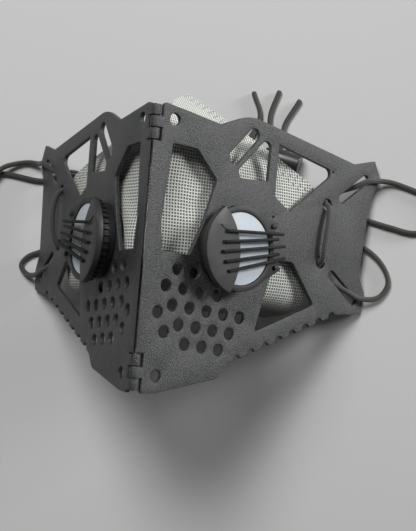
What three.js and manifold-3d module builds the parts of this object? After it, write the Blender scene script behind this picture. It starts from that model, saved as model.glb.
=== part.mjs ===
// Folding face mask: two pierced hard plates on a pair of hinges, a soft filter cup behind them,
// a breathing valve on each plate and an elastic ear cord on each side.
// Millimetres. +Z is up, +Y points to the nose end and +X to the wearer's left cheek.
// The mask lies on its four cheek tips with the hinge ridge up. The origin is on the floor below its middle.
import * as THREE from 'three';
import { mergeVertices } from 'three/addons/utils/BufferGeometryUtils.js';
import Module from 'manifold-3d';

const wasm = await Module();
wasm.setup();

// Driving dimensions
const HALF_FOLD = THREE.MathUtils.degToRad(39.5); // from the symmetry plane to each plate
const REST_TILT = THREE.MathUtils.degToRad(4.45); // the nose end of the ridge stands higher
const GAP = 0.3; // between pieces that touch
const PLATE_THICKNESS = 2;
const RIDGE_GAP = 0.45; // from the symmetry plane to each mitred edge
const ARC_STEP = THREE.MathUtils.degToRad(34);

const KNUCKLE_RADIUS = 2;
const KNUCKLE_LENGTH = 4.3;
const KNUCKLE_PITCH = 4.7;
const PIN_RADIUS = 0.8;
const PIN_OVERHANG = 0.4;
const HINGE_CENTRES = { upper: -1.95, lower: -99.1 };
const POCKET_EDGE = 4.75; // plate edge beside the knuckles

const HOLE_RADIUS = 2.45;
const HOLE_SIDES = 8;
const HOLE_ORIGIN = { u: 17.55, v: -57.9 };
const HOLE_COLUMN = { u: 8.62, v: -0.63 };
const HOLE_ROW = { u: 3.72, v: -7.47 };
const HOLE_ROWS = [
  { row: 0, first: 0, count: 2 },
  { row: 1, first: -1, count: 4 },
  { row: 2, first: -1, count: 5 },
  { row: 3, first: -1, count: 4 },
  { row: 4, first: -1, count: 3 },
  { row: 2.5, first: -2, count: 1 },
  { row: 3.5, first: -2, count: 1 },
];
const HINGE_HOLES = [{ u: 10.6, v: 0 }, { u: 11.1, v: -100 }];
const STITCH_HOLES = [{ u: 95.4, v: -22.5 }, { u: 93.8, v: -47.9 }];

const NOTCH_COUNT = 8;
const NOTCH_RADIUS = 1.95;
const NOTCH_FIRST = { u: 103, v: -70.5 };
const NOTCH_STEP = { u: -7.41, v: -3.06 };
const NOTCH_FACETS = 5;

// Plate outline from the hinge's nose end, by the cheek, to the chin: u away from the hinge, v along it
const NOSE_TO_CHEEK = [
  { u: POCKET_EDGE, v: 6.2, r: 1.5 },
  { u: 33.7, v: 2.25, r: 2.5 },
  { u: 48.9, v: 8.45, r: 19 },
  { u: 110.4, v: -2.5, r: 1.2 },
  { u: 122.9, v: 0.75, r: 0.6 },
  { u: 127.2, v: -7.2, r: 1.6 },
  { u: 121.5, v: -17, r: 7 },
  { u: 117.9, v: -51, r: 7 },
  { u: 121.9, v: -58.8, r: 3 },
  { u: 120.3, v: -68.3, r: 1.8 },
  { u: 105.6, v: -69.5, r: 0 },
];
const CHIN_TO_HINGE = [
  { u: 46, v: -94.4, r: 2.5 },
  { u: 41.8, v: -99.9, r: 5 },
  { u: 12, v: -106.7, r: 8 },
  { u: POCKET_EDGE, v: -107.2, r: 1 },
];

// Windows cut through each plate, in the same axes
const WINDOWS = {
  front: [
    { u: 10.6, v: -9.3, r: 0.8 },
    { u: 22.7, v: -9.7, r: 1.8 },
    { u: 33.7, v: -20.7, r: 2 },
    { u: 28.6, v: -38.5, r: 20 },
    { u: 22.6, v: -51.8, r: 0.6 },
    { u: 9.3, v: -51.4, r: 0.8 },
    { u: 8, v: -40, r: 10 },
  ],
  narrow: [
    { u: 39.3, v: -8.8, r: 0.8 },
    { u: 51.2, v: 4.4, r: 2.6 },
    { u: 55.2, v: 0.6, r: 2.6 },
    { u: 43, v: -13.2, r: 1 },
    { u: 39.8, v: -12.8, r: 1.2 },
  ],
  wedge: [
    { u: 61.2, v: 3.3, r: 2.6 },
    { u: 60.6, v: -17.2, r: 0.5 },
    { u: 45.6, v: -17.9, r: 1.2 },
    { u: 44.6, v: -14.6, r: 1.2 },
  ],
  upper_cheek: [
    { u: 65.4, v: -1.1, r: 0.7 },
    { u: 99, v: -7.9, r: 2.5 },
    { u: 73.9, v: -28.1, r: 0.6 },
    { u: 65.1, v: -22.9, r: 1 },
  ],
  lower_cheek: [
    { u: 70.2, v: -49.4, r: 1.5 },
    { u: 77.6, v: -49.3, r: 3 },
    { u: 91.4, v: -66.3, r: 1 },
    { u: 59.3, v: -79.9, r: 0.8 },
    { u: 65.2, v: -58.3, r: 6 },
  ],
};
const CORD_SLOTS = [
  { from: { u: 104.2, v: -18.7 }, to: { u: 117.5, v: -8.5 }, radius: 1.95 },
  { from: { u: 100.9, v: -52.5 }, to: { u: 114.9, v: -62.6 }, radius: 1.9 },
];

// Breathing valve: its axis crosses the plate here, and its fins point along the turned direction
const VALVE_CENTRE = { u: 42.7, v: -47.3 };
const VALVE_TURN = THREE.MathUtils.degToRad(8.5);
const VALVE_SIDES = 24;
const VALVE_NECK_RADIUS = 14;
const AIRWAY_RADIUS = 12.4;
const SEAT_HEIGHT = 6.5; // heights are above the plate's front face
const RIM_HEIGHT = 7.9;
const RIM_THICKNESS = 1.5;
const RIM_RADIUS = 17.2;
const TOWER_RADIUS = 15.9;
const APERTURE_RADIUS = 14.9;
const RIM_HORN = { reach: 22, angle: THREE.MathUtils.degToRad(27), root: THREE.MathUtils.degToRad(62) };
const TOWER_LOW = GAP;
const KNURL = { count: 40, root: 16.5, tip: 17.3, low: 3.6, high: 6.45 };
const CLAMP = { radius: 16.4, thickness: 1.3 };
const MEMBRANE = { thickness: 0.6, crown: 0.4 };
const COVER_RADIUS = 19.2;
const COVER_THICKNESS = 1.4;
const COVER_SKIRT = { depth: 1.1, wall: 0.8 };
const COVER_INNER_RADIUS = 26.3; // the cover's open edge bulges by this arc
const COVER_INNER_REACH = -1.9; // the arc's furthest point along the fins
const FIN = { width: 1.3, base: 0.5, top: 1.1 }; // base sinks into the cover, top stands above it
const FINS = [
  { rootX: -11.3, rootY: -0.6, tipX: 21.6, tipY: 0 },
  { rootX: -10.3, rootY: 3.2, tipX: 18.2, tipY: 3 },
  { rootX: -10.3, rootY: -4.7, tipX: 18.2, tipY: -3 },
  { rootX: -8.8, rootY: 7.5, tipX: 21.2, tipY: 4.9 },
  { rootX: -8.8, rootY: -8.6, tipX: 21.2, tipY: -4.9 },
];

// Filter cup: sections from the chin to the nose. seamDrop is the depth of the centre seam below the ridge.
const FILTER_WALL = 1.5;
const FILTER_DEPTH = 4; // from the plate's front face to the filter where it lies flat
const FILTER_FLAT = { inner: 19, outer: 24 }; // flat seat around the valve
const FILTER_STEPS = { along: 30, across: 16 };
const FILTER_EVEN = 0.25; // corners that rise less than this from the faces around them are dropped
// A greater ease brings a section sooner from its seam to the plate
const FILTER_SECTIONS = [
  { seamV: -72.5, seamDrop: 66, edgeU: 86, edgeV: -73, edgeDepth: 24, ease: 1.5 },
  { seamV: -71, seamDrop: 54, edgeU: 88, edgeV: -71.5, edgeDepth: 16, ease: 1.6 },
  { seamV: -68.5, seamDrop: 42, edgeU: 89.5, edgeV: -69, edgeDepth: 10, ease: 1.8 },
  { seamV: -64.5, seamDrop: 31, edgeU: 90.3, edgeV: -65, edgeDepth: 6, ease: 2.2 },
  { seamV: -60, seamDrop: 22, edgeU: 90.6, edgeV: -59, edgeDepth: 4.3, ease: 2.8 },
  { seamV: -55.5, seamDrop: 16, edgeU: 90.7, edgeV: -52, edgeDepth: 4, ease: 3 },
  { seamV: -50, seamDrop: 12.5, edgeU: 91, edgeV: -44, edgeDepth: 4, ease: 3 },
  { seamV: -25, seamDrop: 15, edgeU: 91, edgeV: -36, edgeDepth: 4, ease: 5 },
  { seamV: -2, seamDrop: 11, edgeU: 91.5, edgeV: -27, edgeDepth: 4, ease: 1.3 },
  { seamV: 10, seamDrop: 26, edgeU: 91.5, edgeV: -21, edgeDepth: 4, ease: 1.3 },
  { seamV: 19.3, seamDrop: 51, edgeU: 91.2, edgeV: -16.2, edgeDepth: 4, ease: 1.3 },
];

// Ear cords: each is one elastic cord, from the tail at one end of its lock to the tail at the other.
// Points of the centre line are [x, y, z] on the resting mask.
const CORD_RADIUS = 1.2;
const CORD_SIDES = 6;
const CORD_ROUTES = {
  right: [
    // tail on the floor, through the lock, under the plate to the lower cheek
    [31.2, 81.2, 1.3], [28, 69.5, 1.3], [29.2, 61.6, 1.5], [34.6, 54.6, 3.9], [34.1, 48.9, 4.6],
    [32.4, 41.4, 4.3], [43, 20.6, 1.7], [75.6, 10.6, 1.5],
    // lower loop, over the lower tip, in by the slot
    [84.6, 3, 1.3], [87.6, -4.8, 1.4], [84, -11.2, 2], [76.3, -12.8, 5.6], [70.3, -10.6, 10.6],
    [62.4, -6.8, 13.7], [57, -5.2, 16.5],
    // stitch over the front between the two cheek holes
    [56.9, -1.9, 21.2], [60.5, 0.6, 24.7], [61.1, 5.1, 26.3], [62, 18.6, 26.3], [61.5, 23.5, 25.2],
    [57.9, 26.5, 22.3], [56.3, 29.7, 17.5], [59.1, 27.5, 11.5], [69.4, 25, 5],
    // ear loop
    [76.2, 23.2, 1.6], [86, 20.7, 1.4], [98.2, 18.7, 1.3], [107.2, 23, 1.3], [106.6, 31.8, 1.3],
    [88.4, 40.3, 1.7],
    // over the upper tip, in by the slot, through the lock to the other tail
    [81.1, 40.9, 4.1], [76.3, 39.6, 8.9], [69.8, 36, 10.4], [57.5, 32.6, 10], [46, 34.2, 4.4],
    [37, 38.8, 4], [36.4, 46.4, 4.6], [38.1, 54.6, 3.8], [34.8, 63.4, 1.6], [41, 77.2, 1.3],
  ],
  left: [
    // tail on the floor, through the lock, out by the upper slot and over the upper tip
    [19.3, 80.3, 1.3], [23.2, 68, 1.4], [12, 48.8, 3.7], [4, 45.9, 4.6], [-6, 45.7, 4.3],
    [-28, 45, 1.6], [-58.4, 34.4, 11.6], [-69.7, 36.2, 10.4], [-76.5, 40, 8.8], [-81.1, 40.9, 4.1],
    // ear loop, crossing over itself
    [-88.5, 41.6, 1.7], [-98.6, 38, 4.1], [-103.4, 32, 3.4], [-106.8, 25.4, 1.7], [-111.8, 21.8, 1.3],
    [-117.4, 24.6, 1.3], [-117.2, 31.4, 1.3], [-110, 35.2, 1.3], [-97.4, 35.6, 1.3], [-77.6, 33.3, 1.3],
    [-66.5, 38, 1.4], [-58.4, 36.6, 2.6], [-55.4, 31, 9.6],
    // stitch over the front between the two cheek holes
    [-57.9, 26.2, 22.2], [-61.6, 23.3, 25.1], [-63.1, 12.2, 25.8], [-60.6, 0.6, 24.5],
    [-56.9, -1.9, 21.2], [-57, -5.2, 16.5],
    // out by the lower slot, lower loop, under the plate and through the lock to a short tail
    [-62.4, -6.8, 13.7], [-70.3, -10.6, 10.6], [-76.3, -12.7, 5.6], [-81.2, -11.9, 2.5],
    [-84.6, -8.2, 1.5], [-82, -3.8, 1.3], [-62, 4.6, 1.3], [-28, 34.5, 1.8], [-5, 42.2, 4.6],
    [6, 42.1, 4.6], [21, 37.6, 1.3],
  ],
};
// Cord locks: barrel toggles lying on the floor, with both strands through the cross hole
const LOCK = { radius: 4.6, low: -5.6, high: 9, bevel: 0.8, button: 3.4, buttonLow: -8.4, sides: 16 };
const LOCK_HOLE = { width: 7.8, height: 4.2 };
const LOCK_PLACES = {
  right: { x: 35.5, y: 48.5, turn: THREE.MathUtils.degToRad(-14.5) },
  left: { x: 1, y: 44, turn: THREE.MathUtils.degToRad(-90) },
};

const COLOURS = {
  plate: '#2b2c2e',
  pin: '#8d8f92',
  filter: '#c9ccc4',
  valve: '#1d1d1f',
  membrane: '#dfe6ec',
  cord: '#37352f',
  lock: '#151517',
};

// A surface finish for one mesh
function finish(colour, roughness, metalness = 0) {
  return new THREE.MeshStandardMaterial({ color: colour, roughness, metalness });
}

// A closed solid for cutting and joining, from a geometry whose shared corners are merged
function solidFrom(geometry) {
  const bare = geometry.clone();
  bare.deleteAttribute('normal');
  bare.deleteAttribute('uv');
  const merged = mergeVertices(bare);
  const mesh = new wasm.Mesh({
    numProp: 3,
    vertProperties: Float32Array.from(merged.getAttribute('position').array),
    triVerts: Uint32Array.from(merged.getIndex().array),
  });
  return new wasm.Manifold(mesh);
}

// A geometry from a joined or cut solid
function geometryFrom(solid) {
  const mesh = solid.getMesh();
  const geometry = new THREE.BufferGeometry();
  geometry.setAttribute('position', new THREE.BufferAttribute(mesh.vertProperties, 3));
  geometry.setIndex(new THREE.BufferAttribute(mesh.triVerts, 1));
  return geometry;
}

// Corner rows {u, v, r} become a closed outline with rounded corners
function roundedOutline(corners) {
  const points = [];
  corners.forEach((corner, i) => {
    const here = new THREE.Vector2(corner.u, corner.v);
    if (!corner.r) {
      points.push(here);
      return;
    }
    const before = corners.at(i - 1);
    const after = corners[(i + 1) % corners.length];
    const back = new THREE.Vector2(before.u, before.v).sub(here).normalize();
    const ahead = new THREE.Vector2(after.u, after.v).sub(here).normalize();
    const halfAngle = Math.acos(THREE.MathUtils.clamp(back.dot(ahead), -1, 1)) / 2;
    const toCentre = back.clone().add(ahead).setLength(corner.r / Math.sin(halfAngle));
    const centre = here.clone().add(toCentre);
    const start = here.clone().addScaledVector(back, corner.r / Math.tan(halfAngle));
    const sweep = Math.PI - 2 * halfAngle;
    const turn = Math.sign(back.cross(ahead)) * -sweep;
    const steps = Math.max(1, Math.ceil(sweep / ARC_STEP));
    for (let k = 0; k <= steps; k += 1) {
      points.push(start.clone().rotateAround(centre, (turn * k) / steps));
    }
  });
  return points;
}

// Points of a regular circle
function circle({ u, v }, radius, sides) {
  return Array.from({ length: sides }, (_, k) => {
    const angle = (2 * Math.PI * (k + 0.5)) / sides;
    return new THREE.Vector2(u + radius * Math.cos(angle), v + radius * Math.sin(angle));
  });
}

// A slot with round ends between two centres
function slot({ from, to, radius }) {
  const facets = 6;
  const heading = Math.atan2(to.v - from.v, to.u - from.u);
  const points = [];
  for (const [end, facing] of [[to, heading], [from, heading + Math.PI]]) {
    for (let k = 0; k <= facets; k += 1) {
      const angle = facing + Math.PI * (k / facets - 0.5);
      points.push(new THREE.Vector2(end.u + radius * Math.cos(angle), end.v + radius * Math.sin(angle)));
    }
  }
  return points;
}

// A flat piece between two heights, from an outline and its holes
function slab(outline, low, high, holes = []) {
  const clockwise = THREE.ShapeUtils.isClockWise(outline);
  const shape = new THREE.Shape(clockwise ? outline.toReversed() : outline);
  shape.holes = holes.map((points) => new THREE.Path(points));
  const geometry = new THREE.ExtrudeGeometry(shape, { depth: high - low, steps: 1, bevelEnabled: false });
  return geometry.translate(0, 0, low);
}

// A cylinder whose axis runs along v
function barrel(radius, length, sides, { u, v, w }) {
  return new THREE.CylinderGeometry(radius, radius, length, sides).translate(u, v, w);
}

// The hinge axis lies in the symmetry plane and the knuckles touch the plates' front planes
const HINGE_AXIS = { u: KNUCKLE_RADIUS / Math.tan(HALF_FOLD), w: -KNUCKLE_RADIUS };

// Scalloped chin edge, as outline corners
function scallops() {
  const corners = [];
  const heading = Math.atan2(NOTCH_STEP.v, NOTCH_STEP.u);
  for (let i = 0; i < NOTCH_COUNT; i += 1) {
    for (let k = 0; k <= NOTCH_FACETS; k += 1) {
      const angle = heading + Math.PI + (Math.PI * k) / NOTCH_FACETS;
      corners.push({
        u: NOTCH_FIRST.u + i * NOTCH_STEP.u + NOTCH_RADIUS * Math.cos(angle),
        v: NOTCH_FIRST.v + i * NOTCH_STEP.v + NOTCH_RADIUS * Math.sin(angle),
        r: 0,
      });
    }
  }
  return corners;
}

// Every round hole of a plate
function holeCentres() {
  const grid = HOLE_ROWS.flatMap(({ row, first, count }) => Array.from({ length: count }, (_, k) => ({
    u: HOLE_ORIGIN.u + row * HOLE_ROW.u + (first + k) * HOLE_COLUMN.u,
    v: HOLE_ORIGIN.v + row * HOLE_ROW.v + (first + k) * HOLE_COLUMN.v,
  })));
  return [...grid, ...HINGE_HOLES, ...STITCH_HOLES];
}

// One plate in its own axes: u away from the hinge, v along it, w out of the front face.
// places says which of a hinge's three knuckles it carries: -1 and 1 are the outer ones, 0 the middle one.
function plateGeometry(places) {
  const hingeEnd = 1.5 * KNUCKLE_PITCH + GAP;
  const inner = [
    { u: POCKET_EDGE, v: HINGE_CENTRES.lower + hingeEnd, r: 0 },
    { u: 0, v: HINGE_CENTRES.lower + hingeEnd, r: 0 },
    { u: 0, v: HINGE_CENTRES.upper - hingeEnd, r: 0 },
    { u: POCKET_EDGE, v: HINGE_CENTRES.upper - hingeEnd, r: 0 },
  ];
  const outline = roundedOutline([...NOSE_TO_CHEEK, ...scallops(), ...CHIN_TO_HINGE, ...inner]);
  const holes = [
    ...holeCentres().map((centre) => circle(centre, HOLE_RADIUS, HOLE_SIDES)),
    ...Object.values(WINDOWS).map(roundedOutline),
    ...CORD_SLOTS.map(slot),
    circle(VALVE_CENTRE, VALVE_NECK_RADIUS + GAP, VALVE_SIDES),
  ];
  let plate = solidFrom(slab(outline, -PLATE_THICKNESS, 0, holes));

  // Mitre along the ridge
  const across = 30;
  const along = 300;
  const mitre = new THREE.BoxGeometry(across, along, across);
  mitre.translate(RIDGE_GAP - across / 2, 0, 0).rotateY(HALF_FOLD - Math.PI / 2);
  plate = plate.subtract(solidFrom(mitre));

  for (const hinge of Object.values(HINGE_CENTRES)) {
    for (const place of places) {
      const axis = { ...HINGE_AXIS, v: hinge + place * KNUCKLE_PITCH };
      const reach = POCKET_EDGE + GAP - axis.u;
      const tab = new THREE.BoxGeometry(reach, KNUCKLE_LENGTH, PLATE_THICKNESS);
      tab.translate(axis.u + reach / 2, axis.v, -PLATE_THICKNESS / 2);
      plate = plate.add(solidFrom(barrel(KNUCKLE_RADIUS, KNUCKLE_LENGTH, 14, axis))).add(solidFrom(tab));
      plate = plate.subtract(solidFrom(barrel(PIN_RADIUS + GAP, KNUCKLE_LENGTH + GAP, 10, axis)));
    }
  }
  return geometryFrom(plate);
}

// Hinge pin through the three knuckles of one hinge
function pinGeometry(centre) {
  const length = 2 * KNUCKLE_PITCH + KNUCKLE_LENGTH + 2 * PIN_OVERHANG;
  return barrel(PIN_RADIUS, length, 12, { ...HINGE_AXIS, v: centre });
}

// A ring or disc around the valve's axis, from a closed profile of [radius, height] rows
function turned(profile) {
  const points = profile.map(([radius, height]) => new THREE.Vector2(radius, height));
  return new THREE.LatheGeometry(points, VALVE_SIDES).rotateX(Math.PI / 2);
}

// Points of an arc about a centre on the valve's x axis
function arc(centreX, radius, start, end, steps) {
  return Array.from({ length: steps + 1 }, (_, k) => {
    const angle = start + ((end - start) * k) / steps;
    return new THREE.Vector2(centreX + radius * Math.cos(angle), radius * Math.sin(angle));
  });
}

// Valve housing: neck through the plate, tower, knurled collar and a rim with two horns on the open side
function housingGeometry() {
  const neckEnd = -(FILTER_DEPTH + FILTER_WALL + CLAMP.thickness + 2 * GAP);
  const rimLow = RIM_HEIGHT - RIM_THICKNESS;
  const tube = solidFrom(turned([
    [AIRWAY_RADIUS, neckEnd],
    [VALVE_NECK_RADIUS, neckEnd],
    [VALVE_NECK_RADIUS, TOWER_LOW],
    [TOWER_RADIUS, TOWER_LOW],
    [TOWER_RADIUS, RIM_HEIGHT],
    [APERTURE_RADIUS, RIM_HEIGHT],
    [APERTURE_RADIUS, SEAT_HEIGHT],
    [AIRWAY_RADIUS, SEAT_HEIGHT],
    [AIRWAY_RADIUS, neckEnd],
  ]));
  const teeth = Array.from({ length: 2 * KNURL.count }, (_, k) => {
    const angle = (Math.PI * k) / KNURL.count;
    const radius = k % 2 ? KNURL.tip : KNURL.root;
    return new THREE.Vector2(radius * Math.cos(angle), radius * Math.sin(angle));
  });
  const collarHole = circle({ u: 0, v: 0 }, (VALVE_NECK_RADIUS + TOWER_RADIUS) / 2, 12);
  const collar = solidFrom(slab(teeth, KNURL.low, KNURL.high, [collarHole]));
  const horn = (side) => new THREE.Vector2(
    RIM_HORN.reach * Math.cos(RIM_HORN.angle),
    side * RIM_HORN.reach * Math.sin(RIM_HORN.angle),
  );
  const round = arc(0, RIM_RADIUS, RIM_HORN.root, 2 * Math.PI - RIM_HORN.root, 18);
  const open = arc(0, RIM_RADIUS, -RIM_HORN.angle / 2, RIM_HORN.angle / 2, 4);
  const rimOutline = [...round, horn(-1), ...open, horn(1)];
  const rimHole = circle({ u: 0, v: 0 }, APERTURE_RADIUS, VALVE_SIDES);
  const rim = solidFrom(slab(rimOutline, rimLow, RIM_HEIGHT, [rimHole]));
  return geometryFrom(tube.add(collar).add(rim));
}

// Ring pressed on the neck behind the filter
function clampGeometry() {
  const high = -(FILTER_DEPTH + FILTER_WALL + GAP);
  const low = high - CLAMP.thickness;
  const bore = VALVE_NECK_RADIUS + GAP;
  return turned([[bore, low], [CLAMP.radius, low], [CLAMP.radius, high], [bore, high], [bore, low]]);
}

// Soft disc on the housing's seat, slightly crowned
function membraneGeometry() {
  const low = SEAT_HEIGHT + GAP;
  const radius = APERTURE_RADIUS - GAP;
  return turned([
    [0, low],
    [radius, low],
    [radius, low + MEMBRANE.thickness],
    [0, low + MEMBRANE.thickness + MEMBRANE.crown],
  ]);
}

// Cover: a lens-shaped cap over the hinge side of the housing, a short skirt and five fins to the open side
function coverGeometry() {
  const low = RIM_HEIGHT + GAP;
  const high = low + COVER_THICKNESS;
  const innerCentre = COVER_INNER_REACH - COVER_INNER_RADIUS;
  const meetX = (innerCentre ** 2 + COVER_RADIUS ** 2 - COVER_INNER_RADIUS ** 2) / (2 * innerCentre);
  const outerAngle = Math.acos(meetX / COVER_RADIUS);
  const innerAngle = Math.asin((COVER_RADIUS * Math.sin(outerAngle)) / COVER_INNER_RADIUS);
  const outer = arc(0, COVER_RADIUS, outerAngle, 2 * Math.PI - outerAngle, 16);
  const inner = arc(innerCentre, COVER_INNER_RADIUS, -innerAngle, innerAngle, 8);
  let cover = solidFrom(slab([...outer, ...inner.slice(1, -1)], low, high));

  const skirtInner = arc(0, COVER_RADIUS - COVER_SKIRT.wall, 2 * Math.PI - outerAngle, outerAngle, 16);
  cover = cover.add(solidFrom(slab([...outer, ...skirtInner], low - COVER_SKIRT.depth, high - GAP)));

  for (const { rootX, rootY, tipX, tipY } of FINS) {
    const along = new THREE.Vector2(tipX - rootX, tipY - rootY).normalize();
    const side = new THREE.Vector2(-along.y, along.x).multiplyScalar(FIN.width / 2);
    const root = new THREE.Vector2(rootX, rootY);
    const tip = new THREE.Vector2(tipX, tipY);
    const outline = [
      root.clone().sub(side),
      tip.clone().addScaledVector(along, -FIN.width / 2).sub(side),
      tip,
      tip.clone().addScaledVector(along, -FIN.width / 2).add(side),
      root.clone().add(side),
    ];
    cover = cover.add(solidFrom(slab(outline, high - FIN.base, high + FIN.top)));
  }
  return geometryFrom(cover);
}

// Filter cup: both halves meet at the centre seam as one wall with a hole for each valve neck
function filterGeometry() {
  const sine = Math.sin(HALF_FOLD);
  const cosine = Math.cos(HALF_FOLD);
  const seam = new THREE.CatmullRomCurve3(
    FILTER_SECTIONS.map((s) => new THREE.Vector3(s.seamDrop * cosine, s.seamV, s.seamDrop * sine)),
  );
  const edge = new THREE.CatmullRomCurve3(
    FILTER_SECTIONS.map((s) => new THREE.Vector3(s.edgeU, s.edgeV, s.edgeDepth)),
  );
  const { along, across } = FILTER_STEPS;

  const easeAt = (t) => {
    const place = t * (FILTER_SECTIONS.length - 1);
    const first = Math.min(Math.floor(place), FILTER_SECTIONS.length - 2);
    const [before, after] = FILTER_SECTIONS.slice(first, first + 2);
    return THREE.MathUtils.lerp(before.ease, after.ease, place - first);
  };

  // A point of the front: x runs from the seam, 0, to a cheek, 1 or -1
  const frontPoint = (t, x) => {
    const from = seam.getPoint(t);
    const to = edge.getPoint(t);
    const span = Math.abs(x);
    if (span === 0) {
      return [0, from.y, -from.x / cosine];
    }
    const u = THREE.MathUtils.lerp(from.x, to.x, span);
    const v = THREE.MathUtils.lerp(from.y, to.y, span);
    const fromValve = Math.hypot(u - VALVE_CENTRE.u, v - VALVE_CENTRE.v);
    const free = THREE.MathUtils.smoothstep(fromValve, FILTER_FLAT.inner, FILTER_FLAT.outer);
    const turned = THREE.MathUtils.lerp(to.z, from.z, (1 - span) ** easeAt(t));
    const depth = THREE.MathUtils.lerp(FILTER_DEPTH, turned, free);
    return [Math.sign(x) * (u * sine - depth * cosine), v, -(u * cosine + depth * sine)];
  };

  const columns = 2 * across + 1;
  const front = [];
  const sheetIndex = [];
  for (let i = 0; i <= along; i += 1) {
    for (let j = 0; j < columns; j += 1) {
      front.push(...frontPoint(i / along, (j - across) / across));
      if (i < along && j < columns - 1) {
        const a = i * columns + j;
        sheetIndex.push(a, a + 1, a + 1 + columns, a, a + 1 + columns, a + columns);
      }
    }
  }
  const sheet = new THREE.BufferGeometry();
  sheet.setAttribute('position', new THREE.Float32BufferAttribute(front, 3));
  sheet.setIndex(sheetIndex);
  sheet.computeVertexNormals();
  const back = front.map((value, k) => {
    const onSeam = Math.floor(k / 3) % columns === across;
    return value - sheet.attributes.normal.array[k] * (onSeam ? FILTER_WALL / sine : FILTER_WALL);
  });
  const positions = [...front, ...back];
  const layer = (along + 1) * columns;
  const index = [];
  const quad = (a, b, c, d) => index.push(a, b, c, a, c, d);
  for (let i = 0; i < along; i += 1) {
    for (let j = 0; j < columns - 1; j += 1) {
      const a = i * columns + j;
      quad(a, a + 1, a + 1 + columns, a + columns);
      quad(layer + a, layer + a + columns, layer + a + 1 + columns, layer + a + 1);
    }
    const first = i * columns;
    const last = first + columns - 1;
    quad(first, first + columns, layer + first + columns, layer + first);
    quad(last, layer + last, layer + last + columns, last + columns);
  }
  for (let j = 0; j < columns - 1; j += 1) {
    const end = along * columns + j;
    quad(j, layer + j, layer + j + 1, j + 1);
    quad(end, end + 1, layer + end + 1, layer + end);
  }
  const geometry = new THREE.BufferGeometry();
  geometry.setAttribute('position', new THREE.Float32BufferAttribute(positions, 3));
  geometry.setIndex(index);

  let cup = solidFrom(geometry);
  for (const side of [1, -1]) {
    const depth = 30;
    const bore = new THREE.CylinderGeometry(
      VALVE_NECK_RADIUS + GAP, VALVE_NECK_RADIUS + GAP, depth, VALVE_SIDES,
    );
    bore.rotateX(Math.PI / 2).translate(VALVE_CENTRE.u, VALVE_CENTRE.v, -FILTER_DEPTH);
    bore.rotateY(Math.PI / 2 - HALF_FOLD);
    if (side < 0) {
      bore.scale(-1, 1, 1);
      bore.index.array.reverse();
    }
    cup = cup.subtract(solidFrom(bore));
  }
  return geometryFrom(cup.simplify(FILTER_EVEN));
}

// One half of the mask in its plate's axes
function half(name, places) {
  const group = new THREE.Group();
  group.rotation.y = Math.PI / 2 - HALF_FOLD;
  const add = (parent, part, geometry, material) => {
    const mesh = new THREE.Mesh(geometry, material);
    mesh.name = `${name}_${part}`;
    parent.add(mesh);
  };
  add(group, 'plate', plateGeometry(places), finish(COLOURS.plate, 0.62));

  const valve = new THREE.Group();
  valve.position.set(VALVE_CENTRE.u, VALVE_CENTRE.v, 0);
  valve.rotation.z = VALVE_TURN;
  add(valve, 'valve_housing', housingGeometry(), finish(COLOURS.valve, 0.5));
  add(valve, 'valve_clamp', clampGeometry(), finish(COLOURS.valve, 0.5));
  add(valve, 'valve_membrane', membraneGeometry(), finish(COLOURS.membrane, 0.35));
  add(valve, 'valve_cover', coverGeometry(), finish(COLOURS.valve, 0.42));
  group.add(valve);
  return group;
}

// Centre line of a cord, with more steps where its points are close
class CordPath extends THREE.CatmullRomCurve3 {
  getPointAt(t, target) {
    return this.getPoint(t, target);
  }

  getTangentAt(t, target) {
    return this.getTangent(t, target);
  }
}

// Round cord along a route
function cordGeometry(route) {
  const path = new CordPath(route.map(([x, y, z]) => new THREE.Vector3(x, y, z)));
  const section = new THREE.Shape(circle({ u: 0, v: 0 }, CORD_RADIUS, CORD_SIDES));
  const steps = 2 * (route.length - 1);
  return new THREE.ExtrudeGeometry(section, { steps, extrudePath: path, bevelEnabled: false });
}

// Barrel toggle along x with its press button at the low end
function lockGeometry() {
  const profile = [
    [0, LOCK.buttonLow],
    [LOCK.button, LOCK.buttonLow],
    [LOCK.button, LOCK.low],
    [LOCK.radius, LOCK.low],
    [LOCK.radius, LOCK.high - LOCK.bevel],
    [LOCK.radius - LOCK.bevel, LOCK.high],
    [0, LOCK.high],
  ];
  const points = profile.map(([radius, along]) => new THREE.Vector2(radius, along));
  const barrelSolid = solidFrom(new THREE.LatheGeometry(points, LOCK.sides).rotateZ(-Math.PI / 2));
  const hole = new THREE.BoxGeometry(LOCK_HOLE.width, 3 * LOCK.radius, LOCK_HOLE.height);
  return geometryFrom(barrelSolid.subtract(solidFrom(hole)));
}

// The rigid mask with its ridge along Y, then tilted to rest on its tips
const mask = new THREE.Group();
mask.add(half('right', [0]));
const mirrored = new THREE.Group();
mirrored.scale.x = -1;
mirrored.add(half('left', [-1, 1]));
mask.add(mirrored);
const hingePins = new THREE.Group();
hingePins.rotation.y = Math.PI / 2 - HALF_FOLD;
for (const [name, centre] of Object.entries(HINGE_CENTRES)) {
  const pin = new THREE.Mesh(pinGeometry(centre), finish(COLOURS.pin, 0.35, 0.9));
  pin.name = `hinge_pin_${name}`;
  hingePins.add(pin);
}
mask.add(hingePins);
const filter = new THREE.Mesh(filterGeometry(), finish(COLOURS.filter, 0.95));
filter.name = 'filter_insert';
mask.add(filter);
mask.rotation.x = REST_TILT;
mask.updateMatrixWorld(true);
const reach = new THREE.Box3().setFromObject(mask, true);
mask.position.set(0, -(reach.min.y + reach.max.y) / 2, -reach.min.z);

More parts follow.
